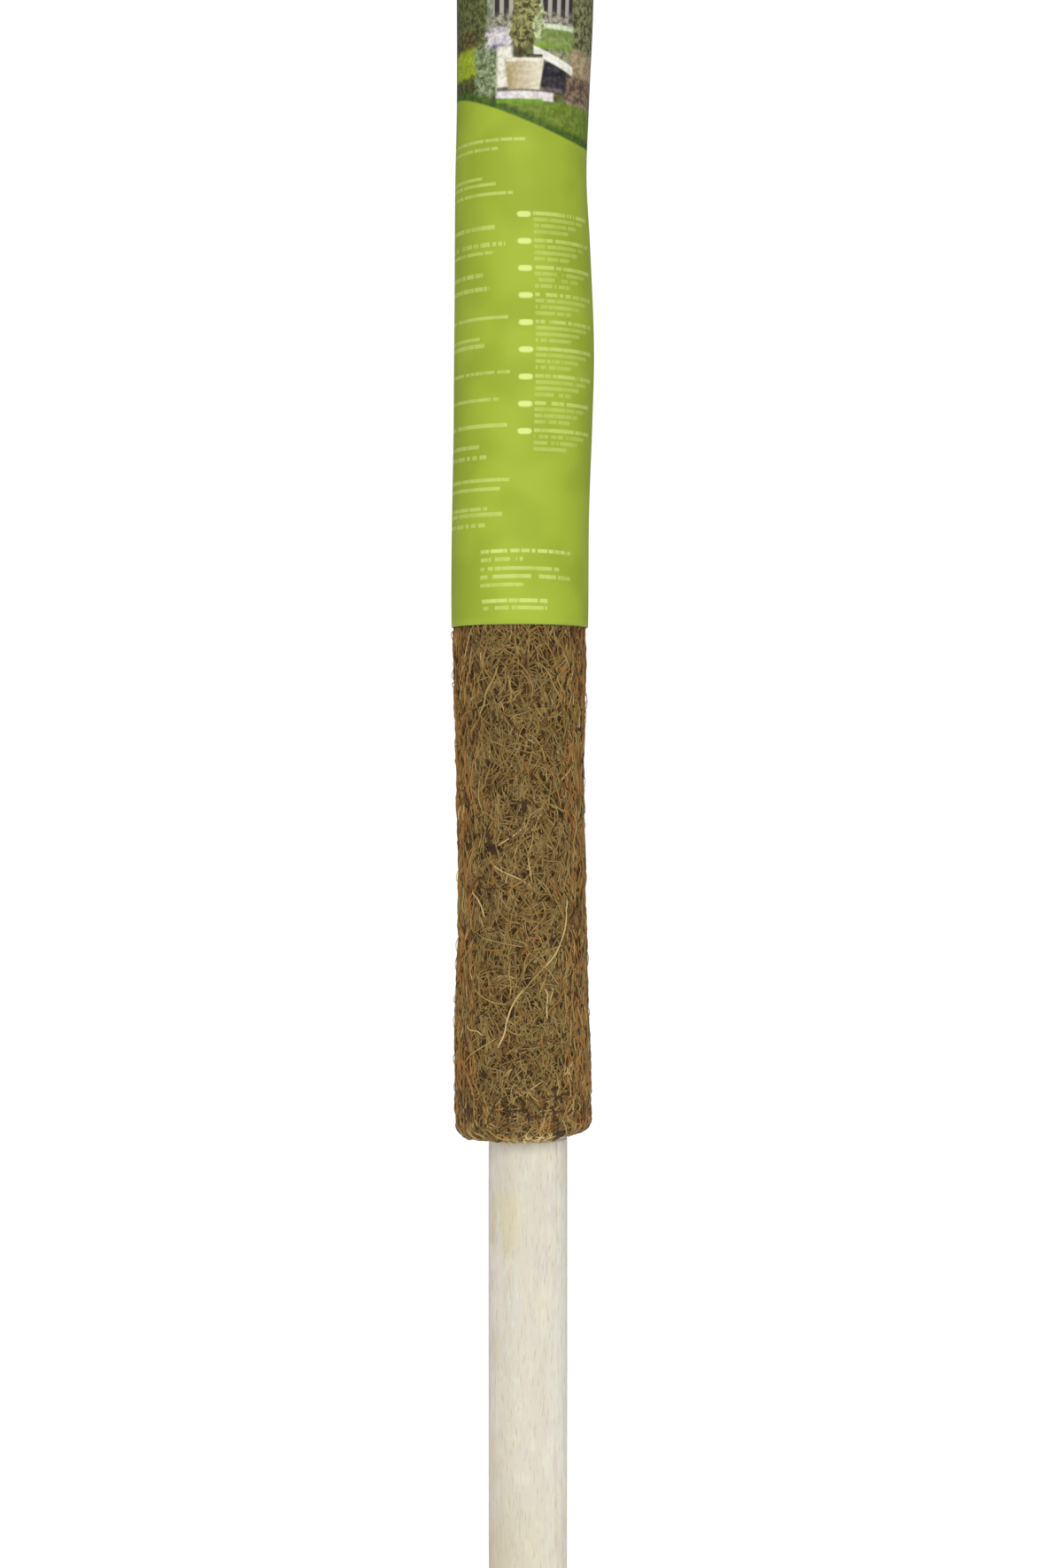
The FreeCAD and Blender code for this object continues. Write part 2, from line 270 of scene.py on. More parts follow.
class Nodes:
    """A node tree, with short calls for the nodes that the looks need."""

    def __init__(self, tree):
        self.tree = tree

    def put(self, socket, value):
        value = value.socket if isinstance(value, Num) else value
        if isinstance(value, bpy.types.NodeSocket):
            self.tree.links.new(value, socket)
        else:
            socket.default_value = value

    def node(self, kind, inputs, **settings):
        """A new node with these settings, and with a number, a colour or a link in each input."""
        node = self.tree.nodes.new("ShaderNode" + kind)
        for key, value in settings.items():
            setattr(node, key, value)
        for key, value in inputs.items():
            self.put(node.inputs[key], value)
        return node

    def math(self, operation, a, b=0.0):
        return Num(self, self.node("Math", {0: a, 1: b}, operation=operation).outputs[0])

    def ramp(self, value, low, high, to_low=0.0, to_high=1.0):
        """A smooth step from to_low at low to to_high at high."""
        ends = {"From Min": low, "From Max": high, "To Min": to_low, "To Max": to_high}
        node = self.node("MapRange", {"Value": value, **ends}, interpolation_type="SMOOTHSTEP")
        return Num(self, node.outputs["Result"])

    def mix(self, share, a, b):
        return self.node("Mix", {"Factor": share, 6: a, 7: b}, data_type="RGBA").outputs[2]

    def apart(self, vector):
        """A vector's three numbers."""
        return [Num(self, part) for part in self.node("SeparateXYZ", {0: vector}).outputs]

    def place(self, scale=(1, 1, 1)):
        """The point's place in millimetres, stretched by scale."""
        point = self.node("TexCoord", {}).outputs["Object"]
        scale = [s / MM for s in scale]
        return self.node("Mapping", {"Vector": point, "Scale": scale}).outputs["Vector"]

    def noise(self, vector, scale=1.0, detail=2.0, roughness=0.5, distortion=0.0):
        look = {"Scale": scale, "Detail": detail, "Roughness": roughness, "Distortion": distortion}
        return Num(self, self.node("TexNoise", {"Vector": vector, **look}).outputs["Fac"])

    def streak(self, number, scale):
        """Smooth noise along one number."""
        inputs = {"W": number, "Scale": scale, "Detail": 1.0}
        return Num(self, self.node("TexNoise", inputs, noise_dimensions="1D").outputs["Fac"])

    def cells(self, vector, scale):
        """The distance to the nearest of many scattered points."""
        node = self.node("TexVoronoi", {"Vector": vector, "Scale": scale})
        return Num(self, node.outputs["Distance"])


class Graph(Nodes):
    """The nodes of a new material."""

    def __init__(self, name, roughness, specular):
        self.material = bpy.data.materials.new(name)
        self.material.use_nodes = True
        super().__init__(self.material.node_tree)
        self.shader = self.tree.nodes["Principled BSDF"]
        self.put(self.shader.inputs["Roughness"], roughness)
        self.put(self.shader.inputs["Specular IOR Level"], specular)

    def bump(self, height, distance_mm, strength=1.0):
        inputs = {"Height": height, "Distance": distance_mm * MM, "Strength": strength}
        self.put(self.shader.inputs["Normal"], self.node("Bump", inputs).outputs["Normal"])

    def finish(self, colour, roughness=None):
        self.put(self.shader.inputs["Base Color"], colour)
        if roughness is not None:
            self.put(self.shader.inputs["Roughness"], roughness)
        return self.material


# -------- the felt and its fibres


FIBRE_SHADES = [
    # name, colour, how common on the front, how common towards the two sides
    ("straw", (200, 176, 116), 0.007, 0.01),
    ("tan", (168, 140, 84), 0.13, 0.10),
    ("olive", (142, 121, 67), 0.29, 0.11),
    ("hazel", (127, 101, 54), 0.27, 0.14),
    ("orange", (162, 114, 54), 0.05, 0.34),
    ("chestnut", (112, 78, 38), 0.08, 0.20),
    ("dark", (72, 51, 25), 0.05, 0.04),
    ("ash", (138, 125, 76), 0.05, 0.03),
    ("pale", (218, 200, 142), 0, 0),
]
SHADE_NAMES = [name for name, *_ in FIBRE_SHADES]


def fibre_materials():
    made = []
    for index, (name, colour, _, _) in enumerate(FIBRE_SHADES):
        graph = Graph(f"coir_{name}", roughness=0.62 + 0.03 * (index % 4), specular=0.3)
        made.append(graph.finish(srgb(*colour)))
    return made


def felt_material():
    graph = Graph("coir_felt", roughness=0.9, specular=0.15)
    place = graph.place()
    strands = graph.noise(graph.place((1.5, 1.5, 0.7)), 1.0, 5.0, 0.65, 1.2)
    pit_shade = graph.ramp(graph.cells(place, 0.6), 0.2, 0.7)
    patches = graph.noise(place, 0.09, 2.0)
    brown = graph.mix(graph.ramp(strands, 0.35, 0.68), srgb(60, 42, 20), srgb(112, 88, 50))
    brown = graph.mix(graph.ramp(patches, 0.35, 0.7) * 0.6, brown, srgb(94, 68, 36))
    # painted shade: near-black pits where the felt shows between the fibres
    brown = graph.mix(pit_shade * 0.75, brown, srgb(36, 24, 9))
    graph.bump(strands, 0.5)
    return graph.finish(brown, graph.ramp(strands, 0.3, 0.7, 0.95, 0.8))


# lengths, thickness and lift from the felt in millimetres, density in fibres to a square millimetre,
# curl and spread in radians; most is how many go in one piece, and under_card is the share of the
# fibres that is made where the card hides them
FIBRE_KINDS = {
    "matted": dict(
        density=0.42, lengths=(5, 12), thick=(0.3, 0.48), lifts=(-0.2, 0.0), curl=0.6, spread=0.8,
        steps=7, sides=3, most=4800, under_card=0.5,
    ),
    "nap": dict(
        density=0.56, lengths=(3.5, 10), thick=(0.26, 0.46), lifts=(-0.05, 0.25), curl=0.7,
        spread=0.8, steps=8, sides=3, most=4400, under_card=0.5,
    ),
    "strand": dict(
        density=0.028, lengths=(8, 18), thick=(0.24, 0.42), lifts=(0.1, 0.4), curl=0.75, spread=0.9,
        steps=14, sides=4, most=1800, under_card=0.5,
    ),
    "stray": dict(
        density=0.018, lengths=(3, 7), thick=(0.18, 0.28), lifts=(0.3, 0.75), curl=0.8, spread=1.0,
        steps=12, sides=4, most=1800, under_card=0.0,
    ),
}
RIM_KIND = dict(
    lengths=(3, 8), thick=(0.34, 0.55), lifts=(-0.1, 0.45), curl=0.9, spread=1.4, steps=8, sides=4
)
FRINGE_KIND = dict(
    lengths=(1.8, 4.5), thick=(0.22, 0.36), lifts=(0.2, 1.1), curl=1.1, spread=1.5, steps=9, sides=5
)
RIM_SHADES = ["dark", "dark", "dark", "chestnut", "chestnut", "hazel", "orange", "olive", "tan"]

# Long pale fibres that lie on top of the front. The places are millimetres to the right of the
# middle, and above the tip of the foot; then come the thickness and the shade.
LONG_FIBRES = [
    ([(11.9, 193), (11.2, 188.8), (10.8, 184.6), (9.5, 180.2), (7.3, 176.4), (2.9, 171.7)], 0.37, "straw"),
    ([(8.6, 179.5), (5.8, 174.9), (3.2, 172.0), (1.0, 169.4), (-1.6, 166.2), (-3.6, 162.2)], 0.34, "tan"),
    ([(1.1, 170.1), (-2.2, 165.4), (-3.8, 161.0), (-4.5, 157.6), (-6.8, 152.9)], 0.44, "straw"),
    ([(4.3, 175.2), (6.4, 173.8), (8.2, 171.2), (9.3, 169.8)], 0.3, "tan"),
    ([(5.6, 169.4), (6.3, 167.4), (6.1, 164), (6.5, 160.6)], 0.36, "straw"),
    ([(-3.0, 176.5), (-3.3, 173), (-2.8, 169.6), (-3.2, 166.6)], 0.34, "tan"),
    ([(-6.2, 250.6), (-6.9, 247.6), (-9.1, 243.4), (-9.7, 240.2), (-11.4, 236.8)], 0.42, "tan"),
    ([(4.6, 251), (6.6, 248.2), (8.1, 245.2), (9.9, 242.2)], 0.32, "tan"),
    ([(-13.2, 194), (-10.6, 190.3), (-9.4, 186.4)], 0.34, "straw"),
    ([(-14.4, 159.6), (-13.1, 158.4), (-11.2, 158.2), (-9.9, 156.9)], 0.3, "straw"),
    ([(13.1, 214), (13.9, 209.6), (13.2, 205.4), (13.8, 201)], 0.3, "tan"),
    ([(0.8, 233.4), (3.4, 231.8), (5.2, 228.6), (5.6, 225.4)], 0.3, "tan"),
    ([(12.6, 150.4), (11.6, 146.8), (12.4, 143.2), (11.8, 140)], 0.34, "tan"),
]
LONG_LIFT = 0.42  # how high they lie over the felt
ROOT = -0.35  # both ends of a fibre are this far inside the felt
SPOT_SHADE_TO, SPOT_LIGHT_FROM = -0.42, 0.6  # of the spots' -1 to 1, which also sink and raise the felt: fibres in its hollows get a painted shade (dark) below, and those on its rises a painted highlight (tan) above
SPOT_SHADED_SHARE = 0.5  # the share of the fibres that take the spots' painted shade and highlight
SEAM_CROSSED = 0.12  # share of the fibres over the seam that are kept


class Mat:
    """The felt's outer surface, by theta and by the place along its outline.

    The outline starts at the stake under the lower rim, goes round the rim, up the wall, round the
    upper rim and back to the stake.
    """

    FACE = 9.5  # width of the flat ring at each end, most of it inside the stake

    def __init__(self):
        self.broad = Lumps(3, 16, 22)
        self.middle = Lumps(4, 5, 6)
        self.fine = Lumps(5, 2.2, 2.4)
        self.spots = Lumps(6, 1.0, 1.3)
        self.corner = RIM_ROUNDING * math.pi / 2
        self.wall = MAT_TOP - MAT_BOTTOM - 2 * RIM_ROUNDING
        self.length = 2 * (self.FACE + self.corner) + self.wall

    def felt_radius(self, z):
        """The felt is squeezed by the card, and free below and above it."""
        edge = np.minimum(np.abs(z - LABEL_BOTTOM), np.abs(z - LABEL_TOP))
        free = outer_radius(z) - FUZZ - EDGE_PINCH * np.clip(1 - edge / PINCH_REACH, 0, 1)
        held = outer_radius(z) - CARD - UNDER_CARD - FUZZ_HELD
        above, below = z - LABEL_BOTTOM, LABEL_TOP - z
        inside = np.clip((above + 1) / 4, 0, 1) * np.clip((below + 1) / 4, 0, 1)
        return free + (held - free) * inside

    def outline(self, place):
        """Radius from the felt's rim, height, and the outward direction (radial, upward)."""
        lower = place < self.length / 2
        p = np.where(lower, place, self.length - place)
        turn = np.clip((p - self.FACE) / self.corner, 0, 1) * math.pi / 2
        radius = -RIM_ROUNDING * (1 - np.sin(turn)) - np.clip(self.FACE - p, 0, None)
        height = RIM_ROUNDING * (1 - np.cos(turn)) + np.clip(p - self.FACE - self.corner, 0, None)
        z = np.where(lower, MAT_BOTTOM + height, MAT_TOP - height)
        return radius, z, np.sin(turn), np.where(lower, -np.cos(turn), np.cos(turn))

    def place_of(self, z):
        """The place on the wall at a height."""
        return self.FACE + self.corner + z - MAT_BOTTOM - RIM_ROUNDING

    def seam_shift(self, place):
        """The seam isn't quite straight."""
        return 0.03 * np.sin(place / 23) + 0.012 * np.sin(place / 6.1)

    def from_seam(self, theta, place):
        """How far round from the seam, in millimetres."""
        away = theta - SEAM - self.seam_shift(place)
        return np.abs(np.mod(away + math.pi, TURN) - math.pi) * ROUND

    def bumps(self, theta, place):
        return (
            0.16 * self.broad(theta, place)
            + 0.16 * self.middle(theta, place)
            + 0.10 * self.fine(theta, place)
            + 0.12 * self.spots(theta, place)
            - SEAM_DEPTH * np.clip(1 - (self.from_seam(theta, place) / SEAM_REACH) ** 2, 0, 1)
        )

    def at(self, theta, place, lift):
        """Points in millimetres at a lift from the felt, and the outward directions there."""
        radius, z, radial, upward = self.outline(place)
        lift = lift + self.bumps(theta, place)
        r = self.felt_radius(z) + radius + lift * radial
        held = (z > LABEL_BOTTOM - 1) & (z < LABEL_TOP + 1)
        r = np.where(held, np.minimum(r, outer_radius(z) - CARD - UNDER_CARD), r)
        low = np.clip((MAT_BOTTOM + TILT_REACH - z) / TILT_REACH, 0, 1)
        z_out = z + lift * upward + RIM_TILT * np.cos(theta) * low
        normal = np.stack([radial * np.cos(theta), radial * np.sin(theta), upward], axis=-1)
        x = AXIS_X + sway(z) + r * np.cos(theta)
        y = r * np.sin(theta)
        # nothing of the felt reaches into the stake
        away = np.maximum(np.hypot(x, y), 1e-6)
        push = np.maximum(away, STAKE_RADIUS + BORE_GAP) / away
        return np.stack([x * push, y * push, z_out], axis=-1), normal


def felt_body(mat):
    columns, rows = 200, 490
    turn = np.arange(columns) / columns * TURN
    theta = SEAM + turn - 0.7 * np.sin(turn)  # closest together at the seam
    place = np.linspace(0, mat.length, rows)
    grid_place, grid_theta = np.meshgrid(place, theta, indexing="ij")
    points, _ = mat.at(grid_theta, grid_place, np.full(grid_theta.shape, -0.1))
    quads = grid_quads(rows, columns, closed=True)
    last = (rows - 1) * columns
    inner = np.arange(columns)
    following = (inner + 1) % columns
    # the bore's wall closes the felt between its two ends
    bore = np.stack([inner, last + inner, last + following, following], axis=-1)
    return mesh_object("coir_felt", points.reshape(-1, 3), [quads, bore], [felt_material()])


def shade_of(rng, theta, count):
    """A shade for each fibre: warmer towards the pole's two sides."""
    sideways = np.clip((np.abs(np.cos(theta)) - 0.55) / 0.3, 0, 1)[:, None]
    front, side = (np.array([shade[k] for shade in FIBRE_SHADES]) for k in (2, 3))
    odds = front / front.sum() * (1 - sideways) + side / side.sum() * sideways
    return (np.cumsum(odds, axis=1) < rng.random((count, 1))).sum(axis=1)


def headings(rng, theta, count, spread):
    """Fibres lie any way round on the front, and nearer to upright towards the two sides."""
    sideways = np.clip((np.abs(np.cos(theta)) - 0.5) / 0.35, 0, 1)
    return math.pi / 2 + rng.normal(0, 1, count) * (spread * (1 - sideways) + 0.3 * sideways)


def fibre_lines(rng, mat, theta, middle, kind):
    """Curved lines on the felt, around a theta and a place along its outline for each, the outward
    directions along them, how high the felt's spots are there, and which lines cross the seam."""
    count = len(theta)
    t = np.linspace(0, 1, kind["steps"])[None, :]
    heading = headings(rng, theta, count, kind["spread"])[:, None]
    bend = rng.normal(0, kind["curl"], count)[:, None]
    wave = rng.normal(0, kind["curl"] * 0.35, count)[:, None]
    turns = rng.uniform(0.6, 1.6, count)[:, None]
    phase = rng.uniform(0, TURN, count)[:, None]
    way = heading + bend * (t - 0.5) + wave * np.sin(TURN * turns * t + phase)
    step = (rng.uniform(*kind["lengths"], count) / (kind["steps"] - 1))[:, None]
    runs = [np.cumsum(part * step, axis=1) for part in (np.cos(way), np.sin(way))]
    round_it, along = (run - run.mean(axis=1, keepdims=True) for run in runs)
    angles = theta[:, None] + round_it / ROUND
    places = np.clip(middle[:, None] + along, 0.5, mat.length - 0.5)
    top = rng.uniform(*kind["lifts"], count)[:, None]
    arch = np.sin(math.pi * t) ** 0.7
    points, normals = mat.at(angles, places, ROOT + (top - ROOT) * arch)
    crosses = (mat.from_seam(angles, places) < SEAM_REACH * 0.7).any(axis=1)
    return points, normals, mat.spots(angles, places), crosses


def fibre_piece(name, rng, mat, materials, theta, middle, kind, names=None):
    """One piece of fibres. Their shades are drawn from names, or else from the usual odds."""
    points, normals, spots, crosses = fibre_lines(rng, mat, theta, middle, kind)
    count, steps = points.shape[:2]
    size = rng.uniform(*kind["thick"], count)[:, None] / 2
    t = np.linspace(0, 1, steps)
    taper = np.minimum(1, 0.3 + 5 * np.minimum(t, 1 - t))
    if names:
        drawn = rng.choice([SHADE_NAMES.index(name) for name in names], count)
    else:
        drawn = shade_of(rng, theta, count)
    shade = np.repeat(drawn[:, None], steps - 1, axis=1)
    dark, tan = SHADE_NAMES.index("dark"), SHADE_NAMES.index("tan")
    # painted shade on fibres in the felt's hollows, and a painted highlight on its rises
    if not names:
        between = (spots[:, 1:] + spots[:, :-1]) / 2
        takes = rng.random((count, 1)) < SPOT_SHADED_SHARE
        shade[(between > SPOT_LIGHT_FROM) & takes] = tan
        shade[(between < SPOT_SHADE_TO) & takes] = dark
    # half of the fibres are darker at both ends, where they go into the felt
    rooty = rng.random(count) < 0.5
    shade[rooty, 0] = dark
    shade[rooty, -1] = dark
    # few fibres cross the seam
    kept = ~crosses | (rng.random(count) < SEAM_CROSSED)
    lines, radii = points[kept], (size * taper)[kept]
    return tubes(name, lines, radii, materials, shade[kept], normals[kept], kind["sides"])


def scattered(rng, mat, kind):
    """A theta and a place for each fibre, thinned where the card hides the felt."""
    count = int(kind["density"] * TURN * ROUND * mat.length)
    theta = rng.uniform(0, TURN, count)
    middle = rng.uniform(0, mat.length, count)
    z = mat.outline(middle)[1]
    hidden = (z > LABEL_BOTTOM + 4) & (z < LABEL_TOP - 4)
    kept = ~hidden | (rng.random(count) < kind["under_card"])
    order = np.argsort(middle[kept])  # up the pole
    return theta[kept][order], middle[kept][order]


def rims(rng, mat, materials):
    """Coarser fibres round both rims, the straw fringe under the front and the dark tuft beside it."""
    count = 900  # round each rim, before the seam is cleared
    low = rng.uniform(mat.FACE - 1, mat.FACE + mat.corner + 8, count)
    for name, place in (("lower", low), ("upper", mat.length - low)):
        theta = rng.uniform(0, TURN, count)
        name = f"coir_rim_{name}"
        yield fibre_piece(name, rng, mat, materials, theta, place, RIM_KIND, RIM_SHADES)
    for name, count, start, end, shades in (
        ("fringe", 75, -103, -62, ["pale", "straw", "straw", "tan", "hazel"]),
        ("tuft", 22, -62, -55, ["dark", "dark", "chestnut"]),
    ):
        theta = np.radians(rng.uniform(start, end, count))
        place = mat.FACE + rng.uniform(-0.15, 0.55, count) * mat.corner
        yield fibre_piece(f"coir_{name}", rng, mat, materials, theta, place, FRINGE_KIND, shades)


def long_fibres(mat, materials):
    """The fibres of LONG_FIBRES, laid on the front."""
    steps = 30
    along = np.linspace(0, 1, steps)
    lines, normals, radii, shades = [], [], [], []
    for points, thick, shade in LONG_FIBRES:
        across, height = np.array(points, float).T
        knots = np.linspace(0, 1, len(points))
        x, z = through(along, knots, across), through(along, knots, height)
        theta = -np.arccos((x - sway(z)) / outer_radius(z))
        tucked = np.clip(7 * np.minimum(along, 1 - along), 0, 1)
        line, normal = mat.at(theta, mat.place_of(z), ROOT + (LONG_LIFT - ROOT) * tucked)
        lines.append(line)
        normals.append(normal)
        radii.append(thick / 2 * (0.45 + 0.55 * tucked) * (1 + 0.12 * np.sin(along * 19)))
        shades.append(np.full(steps - 1, SHADE_NAMES.index(shade)))
    return tubes(
        "coir_long", np.array(lines), np.array(radii), materials, np.array(shades),
        np.array(normals), sides=6,
    )


def coir(mat, materials):
    """All the loose fibres, split up the pole into pieces of about the same size."""
    rng = np.random.default_rng(21)
    made = []
    for name, kind in FIBRE_KINDS.items():
        theta, middle = scattered(rng, mat, kind)
        pieces = math.ceil(len(theta) / kind["most"])
        for i, part in enumerate(np.array_split(np.arange(len(theta)), pieces)):
            places = theta[part], middle[part]
            made.append(fibre_piece(f"coir_{name}_{i + 1}", rng, mat, materials, *places, kind))
    return [*made, *rims(rng, mat, materials), long_fibres(mat, materials)]


# -------- the stake


STAKE_POINT, STAKE_TIP, STAKE_BEVEL = 18.0, 2.0, 1.2  # cone's height, its tip's radius, top edge
SCORE, SCORE_WIDTH, SCORE_DEPTH = 130.2, 1.2, 0.4  # the ring that marks where the mat ends
STAKE_SWELL = 0.08  # how far the turned surface stands out of the true cylinder on average
PITH, RING = (31.0, 12.0), 2.6  # the growth rings' centre, beside the stake, and their width


def wood_material():
    """Pale turned wood: growth rings, upright grain, short pores, and painted light on both sides,
    strongest at +X.
    """
    graph = Graph("stake_wood", roughness=0.62, specular=0.25)
    x, y, z = graph.apart(graph.place())
    grain = graph.noise(graph.place((1.3, 1.3, 0.03)), 1.0, 5.0, 0.55, 0.4)
    pores = graph.noise(graph.place((3.6, 3.6, 0.3)), 1.0, 2.0, 0.5, 0.3)
    stain = graph.noise(graph.place((0.2, 0.2, 0.05)), 1.0, 3.0, 0.55, 0.6)
    blush = graph.noise(graph.place((0.28, 0.28, 0.12)), 1.4, 2.0)
    off_x, off_y = x - PITH[0], y - PITH[1]
    from_pith = graph.math("SQRT", off_x * off_x + off_y * off_y) + (grain - 0.5) * 2.2 + stain * 7
    late = graph.ramp(graph.math("SINE", from_pith * (TURN / RING)), 0.1, 1.0)
    across = x + (stain - 0.5) * 8
    # painted light: the wood is lighter towards -X here, and towards +X in the first coat below
    colour = graph.mix(graph.ramp(across, -10, -6), srgb(227, 218, 204), srgb(207, 202, 186))
    # a warm stain under the mat, and wood that darkens towards the foot, most at -X, where the extra
    # darkening is painted shade
    stained = graph.ramp(z, 97, 106) * graph.ramp(z, 112, 121, 1, 0)
    stained = stained * graph.ramp(across, -9, -6) * graph.ramp(across, -4, 0, 1, 0)
    foot_dark_side_shade = graph.ramp(z, 24, 54, 1, 0) * graph.ramp(across, -9, 5, 0.6, 0.2)
    for share, coat in (
        # painted light towards +X
        (graph.ramp(across, 1, 9), (229, 226, 212)),
        (late * graph.ramp(stain, 0.35, 0.6, 0.08, 0.32), (203, 193, 168)),
        (graph.ramp(grain, 0.42, 0.7) * 0.4, (204, 197, 176)),
        (graph.ramp(stain, 0.5, 0.72) * 0.5, (216, 204, 170)),
        (graph.ramp(blush, 0.48, 0.7) * 0.45, (208, 198, 192)),
        (graph.ramp(blush, 0.3, 0.46, 0.4, 0.0), (216, 221, 204)),
        (stained * 0.5, (208, 195, 151)),
        (foot_dark_side_shade, (190, 179, 152)),
        (graph.ramp(pores, 0.56, 0.74) * 0.5, (180, 166, 140)),
    ):
        colour = graph.mix(share, colour, srgb(*coat))
    graph.bump(grain * 0.6 - graph.ramp(pores, 0.55, 0.75) * 0.4, 0.14)
    return graph.finish(colour, graph.ramp(grain, 0.3, 0.7, 0.58, 0.74))


def stake_outline():
    """Heights and radii up the stake, with points close beside each edge, which keep it crisp."""
    top, crisp = STAKE_HI[2], 0.12
    half = SCORE_WIDTH / 2
    edges = [
        (0, STAKE_TIP),
        (STAKE_POINT, STAKE_RADIUS),
        (SCORE - half, STAKE_RADIUS),
        (SCORE, STAKE_RADIUS - SCORE_DEPTH),
        (SCORE + half, STAKE_RADIUS),
        (top - STAKE_BEVEL, STAKE_RADIUS),
        (top, STAKE_RADIUS - STAKE_BEVEL),
    ]
    heights, radii = zip(*edges)
    places = [np.arange(3, top - 3, 2.5)]
    places += [np.array([h - crisp, h, h + crisp]) for h in heights]
    z = np.unique(np.clip(np.concatenate(places), 0, top))
    # a ring just inside each end face keeps the face flat
    radius = [STAKE_TIP - crisp, *np.interp(z, heights, radii), radii[-1] - crisp]
    return np.array([0, *z, top]), np.array(radius)


def stake():
    columns = 96
    heights, radius = stake_outline()
    swell = STAKE_SWELL * np.clip((heights - STAKE_POINT / 2) / STAKE_POINT, 0, 1)
    facets, slow = Lumps(31, 9, 35), Lumps(32, 40, 90)
    theta = np.arange(columns) / columns * TURN
    z, th = np.meshgrid(heights, theta, indexing="ij")
    lumps = 0.04 * facets(th, z) + 0.10 * slow(th, z)
    r = (radius + swell)[:, None] + lumps * np.clip(radius / STAKE_RADIUS, 0, 1)[:, None]
    points = np.stack([r * np.cos(th), r * np.sin(th), z], axis=-1).reshape(-1, 3)
    quads = grid_quads(len(heights), columns, closed=True)
    side = np.arange(columns // 2 - 1)
    across = [side, side + 1, columns - 2 - side, columns - 1 - side]
    top_cap = np.stack(across, axis=-1) + (len(heights) - 1) * columns
    bottom_cap = np.stack(across[::-1], axis=-1)
    return mesh_object("stake_wood", points, [quads, bottom_cap, top_cap], [wood_material()])


# -------- the sleeve


def card_material():
    graph = Graph("card_back", roughness=0.85, specular=0.2)
    fibres = graph.noise(graph.place(), 3.0, 4.0, 0.7)
    colour = graph.mix(fibres, srgb(214, 208, 194), srgb(232, 228, 218))
    graph.bump(fibres, 0.03)
    return graph.finish(colour)


UV_MM = 100  # the print's own coordinates are in tenths of a metre
PRINT_RADIUS = 17.8  # for turning angles on the card into lengths
BAR = 0.95  # height of a printed bar; bars stand for lines of text
BAR_SPAN = 128  # a bar's ends are less than half of this from the front
SIDE = 46  # the text columns reach this far round from the front, on both sides
LIME, LIME_DEEP, INK = srgb(161, 181, 51), srgb(152, 171, 44), srgb(210, 225, 126)

# Bars on the card: height of the middle, left end, right end, share of ink. The left column's bars
# run on from the card's side, and each is given by its height and its right end.
LEFT_BARS = [
    (height, -SIDE, right, 0.5)
    for height, right in (
        (121.6, 1.0), (119.4, -6.2), (112.2, -11.0), (110.5, -6.8), (108.2, -2.2), (99.6, -7.0),
        (95.3, -4.5), (93.3, -8.0), (87.8, -10.9), (84.3, -9.0), (76.9, -4.0), (71.7, -12.1),
        (70.0, -10.5), (63.1, -3.5), (56.4, -6.0), (49.9, -4.0), (44.7, -11.9), (42.0, -9.5),
        (36.2, -3.0), (34.0, -5.5), (29.0, -8.9), (27.6, -4.8), (24.9, -9.5),
    )
]
FOOT_ARCH = 0.002  # the bars of the lower block bow upwards, by this times the distance squared
FOOT_BARS = [
    (18.4, -10.7, 14.6, 0.8),
    (16.3, -10.7, 1.0, 0.62),
    (14.0, -10.7, 11.2, 0.5),
    (12.0, -10.7, 14.4, 0.58),
    (9.9, -10.7, 1.0, 0.48),
    (5.9, -10.3, 7.3, 0.7),
    (4.1, -9.8, 7.2, 0.55),
]
POINTS_TOP, POINTS_PITCH, POINTS = 103.6, 6.81, 9  # the list on the right, from the top down
BULLET = (0.5, 0.75, 1.85, 0.8)  # middle: round from the front, down from the point's top; two radii
POINT_BARS = [
    (POINTS_PITCH - 0.55 - 1.56 * line, 2.9, 22 - 3 * line, 0.55 if line == 0 else 0.34)
    for line in range(4)
]


